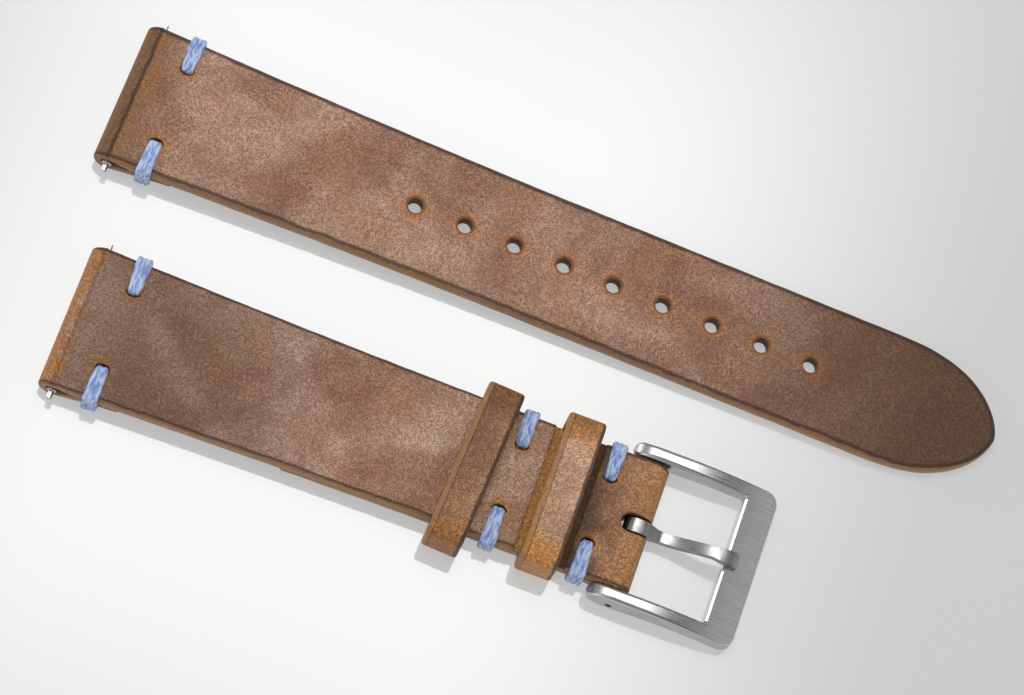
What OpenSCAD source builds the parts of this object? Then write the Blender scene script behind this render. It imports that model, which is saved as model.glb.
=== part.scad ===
// Two-piece leather watch strap with a pin buckle, its pieces lying side by side on a table.
// Millimetres. +X runs from the watch end towards the tip or the buckle, +Z is up, and the
// origin is on the table, under the middle of the box round both pieces.
// The short piece lies along X at -Y, the long piece at +Y, turned a little and dropped at its tip.

/* [Leather] */
// Thickness of the main leather
leather_t = 1.9; // [1.4:0.1:2.5]
// Thickness of the leather that wraps a spring bar
loop_wall = 1.15; // [0.9:0.05:1.6]
// Side clearance of the leather between the lugs of the watch
lug_side_gap = 0.05; // [0.05:0.05:0.5]
// Length of the fold that is glued back under the watch end
flap_l = 10.6; // [9:0.1:16]
// Thickness of the skived end of that fold
flap_end_t = 0.3; // [0.2:0.05:0.6]
// How quickly the taper fades: 1 is a straight taper
taper_power = 1.6; // [1:0.1:2.5]

/* [Long piece] */
// Length from the watch end to the tip
long_l = 122.5; // [112:0.5:140]
// Side clearance of the long piece as it passes through the buckle
long_side_gap = 0.2; // [0.1:0.05:1]
// Length of the taper
long_taper_l = 58; // [40:1:80]
// Length of the rounded tip
tip_l = 16.5; // [8:0.5:22]
// How far back along the tip its sides stay straight
tip_point = 2.6; // [2:0.1:3.4]
// How pointed the tip is: 0.5 is round
tip_round = 0.62; // [0.5:0.01:0.9]
// Number of adjustment holes
hole_n = 9; // [5:1:9]
// Diameter of an adjustment hole
hole_d = 1.9; // [1.5:0.1:2.4]
// Distance between adjustment holes
hole_pitch = 6.94; // [5:0.01:7]
// Distance from the watch end to the first hole
first_hole_x = 40.96; // [30:0.1:44]
// Distance from the watch end to the middle of its stitches
long_stitch_x = 6.9; // [6:0.1:8]

/* [Short piece] */
// Length from the watch end to the buckle end of the leather
short_l = 79.25; // [78:0.25:95]
// Side clearance of the leather between the arms of the buckle
short_side_gap = 0.15; // [0.1:0.05:1]
// Length of the taper
short_taper_l = 55; // [40:1:70]
// Length over which the two layers lap
lap_l = 31.2; // [24:0.1:36]
// Length over which the top layer thins above the lower one
skive_l = 8; // [4:0.5:10]
// Share of the lapped thickness that the top layer keeps
top_layer_share = 0.49; // [0.4:0.01:0.6]
// Length of the fold on top, from its cut end to the buckle end
fold_l = 8.85; // [8.5:0.05:9.4]
// Depth of the keeper's seat below the top of the strap
seat_drop = 0.65; // [0.2:0.05:1]
// Bare seat on the watch side of the fixed keeper
seat_front = 0.9; // [0.3:0.1:2]
// Bare seat on the buckle side of the fixed keeper
seat_back = 1; // [0.3:0.1:2]
// Width of the slot for the tongue
slot_w = 2.5; // [2.2:0.1:3.5]
// Length of that slot from the buckle end
slot_l = 4.05; // [4:0.05:5.5]
// Middle of the stitches near the watch end
lug_stitch_x = 7; // [6:0.1:8]
// Distance from the middle of the stitches between the keepers to the cut end of the top layer
mid_stitch_back = 3.4; // [2:0.1:3.5]
// Distance from the middle of the last stitches to the buckle end
end_stitch_back = 7.15; // [7:0.05:7.5]

/* [Keepers] */
// Thickness of the keeper leather
keeper_t = 1.2; // [0.8:0.05:1.4]
// Outer height of a keeper
keeper_h = 7.25; // [6.5:0.05:9]
// Outer corner radius of a keeper
keeper_r = 1.5; // [1.4:0.1:2.4]
// Clearance between the free keeper and the strap above its base
keeper_gap = 0.05; // [0.02:0.01:0.1]
// Width along the strap of the fixed keeper
fixed_keeper_w = 5; // [4:0.1:5.1]
// Side clearance of the fixed keeper round the strap
fixed_keeper_side = 0.35; // [0.2:0.05:1]
// Width along the strap of the free keeper
free_keeper_w = 4.9; // [4:0.1:5]
// Distance from the middle of the free keeper to that of the fixed one
free_keeper_back = 11.6; // [11.5:0.1:20]
// Side clearance of the free keeper round the strap
free_keeper_side = 1.05; // [1:0.05:1.6]
// How far the free keeper hangs over the near edge
free_keeper_shift = 0.7; // [0:0.05:0.7]
// Turn of the free keeper on the strap
free_keeper_yaw = -3.1; // [-3.5:0.1:3.5]

/* [Thread] */
// Thickness of a stitch
thread_t = 0.5; // [0.3:0.05:0.6]
// Width of a stitch along the strap
thread_w = 1.8; // [1:0.1:1.9]
// Length of a stitch, from its hole to the edge of the strap
stitch_l = 4.4; // [3:0.1:5.5]
// Clearance between the thread and the leather
thread_gap = 0.05; // [0.02:0.01:0.1]

/* [Spring bars] */
// Distance between the lugs of the watch
lug_gap = 20; // [20:0.1:22]
// Diameter of a spring bar
bar_d = 1.5; // [1.3:0.05:1.8]
// Running clearance round a spring bar
bar_gap = 0.05; // [0.02:0.01:0.09]
// Wall of the tube
tube_wall = 0.15; // [0.12:0.01:0.17]
// Diameter of the shoulder of a tip
shoulder_d = 1.3; // [1.2:0.05:1.5]
// Thickness of that shoulder
shoulder_t = 0.35; // [0.2:0.05:0.5]
// Diameter of the pivot at the end of a tip
pivot_d = 0.8; // [0.6:0.05:0.9]
// Length of that pivot
pivot_l = 1.15; // [0.8:0.05:1.4]
// How far a tip can be pushed in
tip_travel = 1.25; // [1:0.05:1.5]
// Length of a tip inside its tube
plunger_l = 3; // [2:0.1:4]
// Sliding clearance round a tip and beside the spring
slide_gap = 0.02; // [0.01:0.01:0.03]
// Wire diameter of the hidden spring
spring_wire = 0.15; // [0.1:0.01:0.2]

/* [Buckle] */
// Width between the arms of the frame
buckle_in_w = 18; // [18:0.1:20]
// Distance from the bar to the front edge
buckle_front = 16.5; // [13:0.1:18]
// Distance from the bar to the back end of an arm
arm_back = 3.4; // [2.6:0.1:3.6]
// Width of an arm at the bar
arm_w = 1.9; // [1.6:0.1:2.6]
// Width of an arm at the front corner
arm_front_w = 1.9; // [1.8:0.1:3]
// Width of the front bar
front_w = 4.3; // [3:0.1:5]
// Height of the front edge
front_h = 2.2; // [1.6:0.1:2.6]
// Height of the arms at the crest of their arch
crest_h = 4.3; // [4:0.1:4.6]
// Distance from the bar to that crest
crest_on = 3.3; // [2:0.1:5]
// How far the underside arches up off the table
arch_rise = 1.1; // [0.6:0.05:1.3]
// Distance from the bar to the middle of that arch
arch_on = 6.7; // [5:0.1:8]
// Outer radius of the front corners
corner_r = 1.7; // [1:0.1:2.5]
// Inner radius of the front corners
inner_r = 0.5; // [0.3:0.1:1]
// Rounding of the upper edges of an arm
arm_edge_r = 0.8; // [0.3:0.05:0.85]
// Rounding of the upper edges of the front bar
front_edge_r = 0.4; // [0.2:0.05:0.8]
// Bevel of the lower edges of the frame
foot_bevel = 0.3; // [0.1:0.05:0.4]
// Width of the tongue at its eye and its tip
tongue_w = 1.9; // [1.4:0.1:2]
// Width of the tongue between them
blade_w = 1.5; // [1.2:0.1:1.8]
// Thickness of the tongue
tongue_t = 1; // [0.7:0.05:1.2]
// Wall of the tongue's eye round the bar
eye_wall = 0.8; // [0.6:0.05:0.85]
// How far the tongue laps over the front bar
tongue_lap = 1.6; // [1:0.1:3]
// Clearance between the tongue and the front bar
tongue_gap = 0.05; // [0.02:0.01:0.1]
// Length over which the tongue comes down past its eye
tongue_bend_l = 2.8; // [2:0.1:4]
// Height of the tongue's top where it is lowest
waist_z = 2.5; // [2.2:0.1:2.8]
// Length of the bevel at the tip of the tongue
tongue_bevel_l = 0.5; // [0.3:0.1:1]

/* [Lay-out] */
// Watch end of the long piece, along X from that of the short piece
long_x = -4.31; // [-12:0.01:4]
// Middle of the long piece, along Y from that of the short piece
long_y = 31.41; // [28:0.01:45]
// Turn of the long piece on the table
long_yaw = -1.11; // [-3:0.01:3]

/* [Hidden] */
$fn = 64;

// Overrun of every cut past the face it leaves
cut = 1;
// Steps in a taper, a rounded tip, an arm, a front corner and a rounded edge
taper_steps = 10;
tip_steps = 16;
arm_steps = 8;
corner_steps = 6;
edge_steps = 4;
end_steps = 7;
bend_steps = 8;

// Widths of the leather, from what it fits between
lug_w = lug_gap - 2 * lug_side_gap;
long_w = buckle_in_w - 2 * long_side_gap;
short_w = buckle_in_w - 2 * short_side_gap;

// Heights of the leather layers, from the bar out
bar_r = bar_d / 2;
bore_r = bar_r + bar_gap;
loop_r = bore_r + loop_wall;
top_z = 2 * loop_r;
under_z = top_z - leather_t;
lap_z = keeper_t + keeper_gap;
joint_z = top_z - (top_z - lap_z) * top_layer_share;
seat_z = top_z - seat_drop;
nose_r = (under_z - lap_z) / 2;

// Places along the short piece, from its buckle end
fold_end_x = short_l - fold_l;
fixed_keeper_x = fold_end_x - seat_back - fixed_keeper_w / 2;
lap_end_x = fixed_keeper_x - fixed_keeper_w / 2 - seat_front;
skive_x = lap_end_x - lap_l + nose_r;
mid_stitch_x = lap_end_x - mid_stitch_back;
end_stitch_x = short_l - end_stitch_back;

// The keepers round it
fixed_keeper_in_w = short_w + 2 * fixed_keeper_side;
free_keeper_in_w = short_w + 2 * free_keeper_side;
free_keeper_x = fixed_keeper_x - free_keeper_back;

// The buckle's bar, and the frame and tongue from it
bar_x = short_l - loop_r;
bar_z = loop_r;
frame_x = bar_x + buckle_front;
window_x = frame_x - front_w;
eye_r = bore_r + eye_wall;
crest_x = bar_x + crest_on;
arch_x = bar_x + arch_on;
tongue_x = window_x + tongue_lap;

// The tips of a spring bar
tube_bore_r = bar_r - tube_wall;
plunger_r = tube_bore_r - slide_gap;
pivot_r = pivot_d / 2;
pivot_hole_r = pivot_r + bar_gap;
shoulder_gap = 0.05;

// The long piece drops until its tip meets the table
long_drop = atan(under_z / (long_l - loop_r));

// Middle of the box round both pieces, which becomes the origin
tip_reach = lug_gap / 2 - shoulder_gap + pivot_l;
keeper_reach = free_keeper_shift + (free_keeper_in_w / 2 + keeper_t) * cos(free_keeper_yaw)
    + free_keeper_w / 2 * sin(abs(free_keeper_yaw));
box_x_low = min(0, long_x - lug_w / 2 * sin(abs(long_yaw)));
box_x_high = max(frame_x, long_x + long_l * cos(long_yaw));
box_y_low = -max(keeper_reach, tip_reach, buckle_in_w / 2 + arm_front_w);
box_y_high = long_y + max(tip_reach * cos(long_yaw) + loop_r * sin(long_yaw),
    long_w / 2 * cos(long_yaw) + (long_l - tip_l) * sin(long_yaw));
middle_x = (box_x_low + box_x_high) / 2;
middle_y = (box_y_low + box_y_high) / 2;

// Half the width of a piece at x from its watch end
function half_w(x, end_w, taper_l) =
    (end_w + (lug_w - end_w) * pow(max(0, 1 - x / taper_l), taper_power)) / 2;

// Height of the folded-back flap's lower face at x
function flap_z(x) = (under_z - flap_end_t) * (x - loop_r) / (flap_l - loop_r);

// Height of the buckle fold's lower face at x
function fold_z(x) = lap_z * (bar_x - x) / (bar_x - fold_end_x);

// Side outline in X and Z, carried across in Y
module across(w) {
    rotate([90, 0, 0]) linear_extrude(w, center = true) children();
}

// Section in Y and Z, carried along X from x
module along(x, l) {
    translate([x, 0, 0]) rotate([90, 0, 90]) linear_extrude(l) children();
}

// Upright prism through everything
module upright() {
    translate([0, 0, -cut]) linear_extrude(top_z + 2 * cut) children();
}

// Puts the long piece in its place on the table
module lay_long() {
    translate([long_x, long_y, 0]) rotate([0, 0, long_yaw])
        translate([loop_r, 0, loop_r]) rotate([0, long_drop, 0])
            translate([-loop_r, 0, -loop_r]) children();
}

// Puts everything over the origin
module place() {
    translate([-middle_x, -middle_y, 0]) children();
}

// Rounded rectangle, its middle on the first axis and its foot at zero
module round_box(w, h, r) {
    translate([-w / 2 + r, 0]) square([w - 2 * r, h]);
    translate([-w / 2, r]) square([w, h - 2 * r]);
    for (side = [-1, 1], level = [r, h - r]) translate([side * (w / 2 - r), level]) circle(r);
}

// Outline from above of a piece that tapers, then runs straight to l
module taper_plan(l, end_w, taper_l) {
    side = [for (i = [0:taper_steps])
        let (x = taper_l * i / taper_steps) [x, half_w(x, end_w, taper_l)]];
    outline = concat(side, [[l, end_w / 2]]);
    polygon(both_sides(outline));
}

// Outline from above of the long piece, with its rounded tip
module long_plan() {
    side = [for (i = [0:taper_steps])
        let (x = long_taper_l * i / taper_steps) [x, half_w(x, long_w, long_taper_l)]];
    tip = [for (i = [0:tip_steps])
        let (a = 90 * (1 - i / tip_steps))
            [long_l - tip_l + tip_l * cos(a), long_w / 2 * pow(1 - pow(cos(a), tip_point), tip_round)]];
    polygon(both_sides(concat(side, tip)));
}

// One side of an outline, and its mirror image back to the start
function both_sides(side) =
    concat(side, [for (i = [len(side) - 1:-1:0]) if (side[i].y > 0) [side[i].x, -side[i].y]]);

// Fold round the spring bar at a watch end, with its flap glued underneath
module lug_loop() {
    translate([loop_r, loop_r]) circle(loop_r);
    polygon([[loop_r, 0], [flap_l, under_z - flap_end_t], [flap_l, top_z], [loop_r, top_z]]);
}

// Slots in the leather for one pair of stitches, from the half width there
module stitch_slots(x, edge) {
    size = [thread_w + 2 * thread_gap, thread_t + 2 * thread_gap];
    middle_y = edge - stitch_l + thread_t / 2;
    for (side = [-1, 1]) translate([x, side * middle_y]) square(size, center = true);
}

// Leather strip of the long piece: watch-end fold, adjustment holes and rounded tip
module long_strap() color("saddlebrown") {
    lay_long() difference() {
        intersection() {
            across(lug_w + 2 * cut) difference() {
                union() {
                    lug_loop();
                    translate([loop_r, under_z]) square([long_l - loop_r, leather_t]);
                }
                translate([loop_r, loop_r]) circle(bore_r);
            }
            upright() long_plan();
        }
        for (i = [0:hole_n - 1]) translate([first_hole_x + i * hole_pitch, 0, -cut])
            cylinder(d = hole_d, h = top_z + 2 * cut);
        upright() stitch_slots(long_stitch_x, long_stitch_edge);
    }
}

// Leather strip of the short piece: watch-end fold, then thinned over the lower layer
module short_strap() color("saddlebrown") {
    difference() {
        intersection() {
            across(lug_w + 2 * cut) difference() {
                union() {
                    lug_loop();
                    polygon([[loop_r, under_z], [skive_x, under_z], [skive_x + skive_l, joint_z],
                        [lap_end_x, joint_z], [lap_end_x, top_z], [loop_r, top_z]]);
                }
                translate([loop_r, loop_r]) circle(bore_r);
            }
            upright() taper_plan(short_l, short_w, short_taper_l);
        }
        upright() stitch_slots(lug_stitch_x, lug_stitch_edge);
        upright() stitch_slots(mid_stitch_x, short_w / 2);
    }
}

// Lower layer: under the strap, up to the keeper's seat, round the buckle bar and back on top
module buckle_tab() color("sienna") {
    difference() {
        intersection() {
            across(lug_w + 2 * cut) difference() {
                tab_profile();
                translate([bar_x, bar_z]) circle(bore_r);
            }
            upright() taper_plan(short_l, short_w, short_taper_l);
        }
        upright() stitch_slots(mid_stitch_x, short_w / 2);
        upright() stitch_slots(end_stitch_x, short_w / 2);
        upright() tongue_slot();
    }
}

// Side outline of the lower layer and its fold
module tab_profile() {
    translate([bar_x, bar_z]) circle(loop_r);
    translate([skive_x, lap_z + nose_r]) circle(nose_r);
    polygon([[skive_x, lap_z], [fold_end_x, lap_z], [bar_x, 0], [bar_x, top_z],
        [fold_end_x, top_z], [fold_end_x, seat_z],
        [lap_end_x, seat_z], [lap_end_x, joint_z], [skive_x + skive_l, joint_z],
        [skive_x, under_z]]);
}

// Slot that is round at its inner end and open at the buckle end
module tongue_slot() {
    start_x = short_l - slot_l + slot_w / 2;
    translate([start_x, 0]) circle(slot_w / 2);
    translate([start_x, -slot_w / 2]) square([slot_l, slot_w]);
}

// Closed band of keeper leather round the strap, standing on foot_z
module keeper(in_w, l, foot_z) {
    along(-l / 2, l) translate([0, foot_z]) difference() {
        round_box(in_w + 2 * keeper_t, keeper_h, keeper_r);
        translate([0, keeper_t]) round_box(in_w, keeper_h - 2 * keeper_t, keeper_r - keeper_t);
    }
}

// Keeper that slides along the short piece
module free_keeper() color("peru") {
    translate([free_keeper_x, -free_keeper_shift, 0]) rotate([0, 0, free_keeper_yaw])
        keeper(free_keeper_in_w, free_keeper_w, 0);
}

// Keeper that is held in the seat between the two cut ends
module fixed_keeper() color("peru") {
    translate([fixed_keeper_x, 0, 0])
        keeper(fixed_keeper_in_w, fixed_keeper_w, keeper_gap);
}

// One stitch: a flat ring of thread from its hole, over the edge and back underneath
module thread(x, side, edge, low_z) color("cornflowerblue") {
    in_w = stitch_l + thread_gap - thread_t;
    in_h = top_z - low_z + 2 * thread_gap;
    corner = 2 * thread_gap;
    along(x - thread_w / 2, thread_w)
        translate([side * (edge + thread_gap - in_w / 2), low_z - thread_gap - thread_t])
            difference() {
                round_box(in_w + 2 * thread_t, in_h + 2 * thread_t, corner + thread_t);
                translate([0, thread_t]) round_box(in_w, in_h, corner);
            }
}

// Half the width of the leather beside the stitches at each watch end
long_stitch_edge = half_w(long_stitch_x - thread_w / 2, long_w, long_taper_l);
lug_stitch_edge = half_w(lug_stitch_x - thread_w / 2, short_w, short_taper_l);

// Stitch at the watch end of the long piece
module long_thread(side) {
    lay_long() thread(long_stitch_x, side, long_stitch_edge, flap_z(long_stitch_x - thread_w / 2));
}

// Stitch at the watch end of the short piece
module lug_thread(side) {
    thread(lug_stitch_x, side, lug_stitch_edge, flap_z(lug_stitch_x - thread_w / 2));
}

// Stitch between the keepers, through both layers
module mid_thread(side) {
    thread(mid_stitch_x, side, short_w / 2, lap_z);
}

// Stitch between the fixed keeper and the buckle, through the fold
module end_thread(side) {
    thread(end_stitch_x, side, short_w / 2, fold_z(end_stitch_x + thread_w / 2));
}

// Half the length of the tube of a spring bar between walls that are gap apart
function tube_half(gap) = gap / 2 - shoulder_gap - shoulder_t - tip_travel;

// Rod or tube about Y, from y to y + l
module rod(y, l, r) {
    translate([0, y, 0]) rotate([-90, 0, 0]) cylinder(r = r, h = l);
}

// Tube of a spring bar, about Y
module bar_tube(gap) color("silver") {
    half = tube_half(gap);
    difference() {
        rod(-half, 2 * half, bar_r);
        rod(-half - cut, 2 * (half + cut), tube_bore_r);
    }
}

// Hidden spring between the two tips, drawn as the sleeve that it fills
module bar_spring(gap) color("dimgray") {
    half = tube_half(gap) - plunger_l - slide_gap;
    difference() {
        rod(-half, 2 * half, plunger_r);
        rod(-half - cut, 2 * (half + cut), plunger_r - spring_wire);
    }
}

// Tip of a spring bar: plunger in the tube, shoulder and pivot
module bar_tip(gap, side) color("silver") {
    shoulder_y = gap / 2 - shoulder_gap - shoulder_t;
    inner_y = tube_half(gap) - plunger_l;
    mirror([0, side < 0 ? 1 : 0, 0]) {
        rod(inner_y, shoulder_y - inner_y, plunger_r);
        rod(shoulder_y, shoulder_t, shoulder_d / 2);
        rod(shoulder_y, shoulder_t + pivot_l, pivot_r);
    }
}

// Places of the three spring bars
module at_long_bar() { lay_long() translate([loop_r, 0, loop_r]) children(); }
module at_short_bar() { translate([loop_r, 0, loop_r]) children(); }
module at_buckle_bar() { translate([bar_x, 0, bar_z]) children(); }

// Heights of the frame's upper and lower faces at x in front of the bar
function frame_top(x) =
    crest_h - (crest_h - front_h) * pow((max(x, crest_x) - crest_x) / (frame_x - crest_x), 2);
function frame_low(x) = arch_rise * (1 - pow((x - arch_x) / (frame_x - arch_x), 2));

// One station of the frame: inner and outer point, their low and high z, edge radii
function back_station(a) =
    let (x = bar_x - arm_back * cos(a), reach = (x - bar_x + arm_back) / (arm_w / 2),
        wide = reach < 1 ? sqrt(reach * (2 - reach)) : 1,
        middle = (buckle_in_w + arm_w) / 2, edge_r = arm_edge_r * min(wide, sin(a)),
        middle_z = (frame_low(bar_x) + frame_top(bar_x)) / 2,
        half = (frame_top(bar_x) - frame_low(bar_x)) / 2 * sin(a))
    [[x, middle - wide * arm_w / 2], [x, middle + wide * arm_w / 2],
        [middle_z - half, middle_z - half], [middle_z + half, middle_z + half], edge_r];

function front_station(inner, outer, edge_r) =
    [inner, outer, [frame_low(inner.x), frame_low(outer.x)],
        [frame_top(inner.x), frame_top(outer.x)], edge_r];

function arm_station(share) = front_station(
    [bar_x + share * (window_x - inner_r - bar_x), buckle_in_w / 2],
    [bar_x + share * (frame_x - corner_r - bar_x),
        buckle_in_w / 2 + arm_w + share * (arm_front_w - arm_w)],
    arm_edge_r + share * (front_edge_r - arm_edge_r));

function corner_station(a) = front_station(
    [window_x - inner_r * (1 - sin(a)), buckle_in_w / 2 - inner_r * (1 - cos(a))],
    [frame_x - corner_r * (1 - sin(a)),
        buckle_in_w / 2 + arm_front_w - corner_r * (1 - cos(a))],
    front_edge_r);

function mirrored(s) = [[s[0].x, -s[0].y], [s[1].x, -s[1].y], s[2], s[3], s[4]];

half_frame = concat(
    [for (i = [1:end_steps]) back_station(90 * i / (end_steps + 1))],
    [for (i = [0:arm_steps]) arm_station(i / arm_steps)],
    [for (i = [1:corner_steps]) corner_station(90 * i / corner_steps)]);
frame_stations = concat(half_frame,
    [for (i = [len(half_frame) - 1:-1:0]) mirrored(half_frame[i])]);

// Section of the frame at a station: its lower edges bevelled, its upper edges rounded
function frame_section(s) =
    let (w = norm(s[1] - s[0]), out = (s[1] - s[0]) / w, r = s[4],
        foot = min(foot_bevel, w / 4, (s[3][0] - s[2][0]) / 4),
        low = function (u) s[2][0] + (s[2][1] - s[2][0]) * u / w,
        top = function (u) s[3][0] + (s[3][1] - s[3][0]) * u / w,
        outline = concat(
            [[0, low(0) + foot], [foot, low(foot)], [w - foot, low(w - foot)], [w, low(w) + foot]],
            [for (i = [0:edge_steps]) let (a = 90 * i / edge_steps, u = w - r * (1 - cos(a)))
                [u, top(u) - r * (1 - sin(a))]],
            [for (i = [0:edge_steps]) let (a = 90 * i / edge_steps, u = r * (1 - sin(a)))
                [u, top(u) - r * (1 - cos(a))]]))
    [for (p = outline) [s[0].x + p.x * out.x, s[0].y + p.x * out.y, p.y]];

// Frame of the buckle: two arched arms and a broad front bar, with a hole through each arm
module buckle_frame() color("silver") {
    m = 2 * edge_steps + 6;
    n = len(frame_stations);
    difference() {
        polyhedron(
            points = [for (s = frame_stations) each frame_section(s)],
            faces = concat(
                [[for (j = [0:m - 1]) j]],
                [[for (j = [m - 1:-1:0]) (n - 1) * m + j]],
                [for (i = [0:n - 2], j = [0:m - 1]) [i * m + j, (i + 1) * m + j,
                    (i + 1) * m + (j + 1) % m]],
                [for (i = [0:n - 2], j = [0:m - 1]) [i * m + j, (i + 1) * m + (j + 1) % m,
                    i * m + (j + 1) % m]]));
        translate([bar_x, 0, bar_z]) rod(-buckle_in_w, 2 * buckle_in_w, pivot_hole_r);
    }
}

// Height of the front bar's upper face at x, from its inner to its outer edge
function bar_top(x) = frame_top(window_x)
    + (front_h - frame_top(window_x)) * (x - window_x) / front_w;

// Half the outline of the tongue seen from above
blade_half = [[bar_x - eye_r - cut, tongue_w / 2], [bar_x + eye_r, tongue_w / 2],
    [bar_x + eye_r + tongue_bend_l / 2, blade_w / 2], [window_x - tongue_lap, blade_w / 2],
    [window_x - tongue_lap / 4, tongue_w / 2], [tongue_x + cut, tongue_w / 2]];

// Tongue: an eye round the bar, a waist, a rising blade and a tip that laps over the front bar
module buckle_tongue() color("gainsboro") {
    eye_top = bar_z + eye_r;
    bend_x = bar_x + eye_wall;
    waist_x = bend_x + tongue_bend_l;
    rest_z = frame_top(window_x) + tongue_gap;
    down = [for (i = [0:bend_steps]) let (share = i / bend_steps)
        [bend_x + share * tongue_bend_l,
            waist_z + (eye_top - waist_z) * (1 + cos(180 * share)) / 2]];
    rise = [for (i = [1:bend_steps]) let (share = i / bend_steps)
        [waist_x + share * (window_x - tongue_lap / 2 - waist_x),
            waist_z + (rest_z + tongue_t - waist_z) * (1 - cos(180 * share)) / 2]];
    bevel_x = tongue_x - tongue_bevel_l;
    tip = [[window_x, rest_z + tongue_t], [bevel_x, bar_top(bevel_x) + tongue_gap + tongue_t],
        [tongue_x, bar_top(tongue_x) + tongue_gap + tongue_t / 2],
        [tongue_x, bar_top(tongue_x) + tongue_gap], [window_x, rest_z]];
    under = [for (i = [bend_steps - 1:-1:0]) rise[i] - [0, tongue_t]];
    difference() {
        intersection() {
            union() {
                across(tongue_w) translate([bar_x, bar_z]) circle(eye_r);
                across(tongue_w) polygon(concat([[bar_x, eye_top]], down, rise, tip, under,
                    [[waist_x, waist_z - tongue_t], [bar_x + bore_r, waist_z - tongue_t]]));
            }
            linear_extrude(2 * top_z) polygon(concat(blade_half,
                [for (i = [len(blade_half) - 1:-1:0]) [blade_half[i].x, -blade_half[i].y]]));
        }
        translate([bar_x, 0, bar_z]) rod(-tongue_w, 2 * tongue_w, bore_r);
    }
}

place() long_strap();
place() short_strap();
place() buckle_tab();
place() free_keeper();
place() fixed_keeper();
place() buckle_frame();
place() buckle_tongue();
place() at_long_bar() bar_tube(lug_gap);  // long_bar_tube
place() at_long_bar() bar_spring(lug_gap);  // long_bar_spring
place() at_long_bar() bar_tip(lug_gap, 1);  // long_bar_tip_far
place() at_long_bar() bar_tip(lug_gap, -1);  // long_bar_tip_near
place() at_short_bar() bar_tube(lug_gap);  // short_bar_tube
place() at_short_bar() bar_spring(lug_gap);  // short_bar_spring
place() at_short_bar() bar_tip(lug_gap, 1);  // short_bar_tip_far
place() at_short_bar() bar_tip(lug_gap, -1);  // short_bar_tip_near
place() at_buckle_bar() bar_tube(buckle_in_w);  // buckle_bar_tube
place() at_buckle_bar() bar_spring(buckle_in_w);  // buckle_bar_spring
place() at_buckle_bar() bar_tip(buckle_in_w, 1);  // buckle_bar_tip_far
place() at_buckle_bar() bar_tip(buckle_in_w, -1);  // buckle_bar_tip_near
place() long_thread(1);  // thread_long_far
place() long_thread(-1);  // thread_long_near
place() lug_thread(1);  // thread_lug_far
place() lug_thread(-1);  // thread_lug_near
place() mid_thread(1);  // thread_mid_far
place() mid_thread(-1);  // thread_mid_near
place() end_thread(1);  // thread_end_far
place() end_thread(-1);  // thread_end_near
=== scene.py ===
"""Leather watch strap in two pieces, with keepers, blue stitches, spring bars and a satin buckle.

Lengths are millimetres, as in the part's source, until a piece is laid in its place in metres.
"""

import math

import bmesh
import bpy
from mathutils import Matrix, Vector, noise


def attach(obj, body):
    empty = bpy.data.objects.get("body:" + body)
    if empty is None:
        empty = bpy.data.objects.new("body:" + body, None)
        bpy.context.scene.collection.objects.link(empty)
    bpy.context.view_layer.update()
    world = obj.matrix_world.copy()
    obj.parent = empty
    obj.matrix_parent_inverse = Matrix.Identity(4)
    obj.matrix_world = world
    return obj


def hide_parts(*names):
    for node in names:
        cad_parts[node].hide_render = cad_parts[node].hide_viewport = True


MM = 0.001

# Leather
LEATHER_T = 1.9
LOOP_R = 1.95
BORE_R = 0.85
TOP_Z = 2 * LOOP_R
UNDER_Z = TOP_Z - LEATHER_T
FLAP_L = 10.6
FLAP_END_T = 0.3
TAPER_POWER = 1.6
LUG_W = 19.9
TOP_EDGE_R = 0.38
LOW_EDGE_R = 0.18
CUT_END_R = 0.3
EDGE_WAVE = 0.045
GLUE_GAP = 0.01
WATCH_FOLD_CLOSE_X = 5.4
BUCKLE_FOLD_CLOSE_L = 3.2
FOLD_TUCK = 0.12

# Long piece
LONG_L = 122.5
LONG_W = 17.6
LONG_TAPER_L = 58
TIP_L = 16.5
TIP_POINT, TIP_ROUND = 2.6, 0.62
HOLE_N = 9
HOLE_R = 0.95
HOLE_PITCH = 6.94
FIRST_HOLE_X = 40.96
LONG_STITCH_X = 6.9

# Short piece
SHORT_L = 79.25
SHORT_W = 17.7
SHORT_TAPER_L = 55
LAP_Z = 1.25
JOINT_Z = 2.6
SEAT_Z = 3.25
SKIVE_X = 32.7
SKIVE_L = 8
SKIVE_TIP_LOW, SKIVE_TIP_HIGH = 1.4, 1.85
LAP_END_X = 63.5
FOLD_END_X = 70.4
SLOT_W = 2.5
SLOT_L = 4.05
LUG_STITCH_X = 7
MID_STITCH_X = 60.1
END_STITCH_X = 72.1

# Keepers
KEEPER_T = 1.2
KEEPER_H = 7.25
KEEPER_R = 1.5
KEEPER_EDGE_R = 0.46
FIXED_KEEPER_X = 66.9
FIXED_KEEPER_Z = 0.05
FIXED_KEEPER_W = 5
FIXED_KEEPER_IN_W = 18.4
FREE_KEEPER_X = 55.3
FREE_KEEPER_W = 4.9
FREE_KEEPER_IN_W = 19.8
FREE_KEEPER_SHIFT = 0.7
FREE_KEEPER_YAW = -3.1

# Stitches
STITCH_L = 4.4
STITCH_HALF_W = 0.9
STITCH_REACH = STITCH_L - 0.25
STITCH_HOLE_REACH = STITCH_REACH + 0.12
STITCH_HOLE_RX, STITCH_HOLE_RY = 0.95, 0.62
THREAD_R = 0.31
THREAD_BEND_R = 0.5

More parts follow.
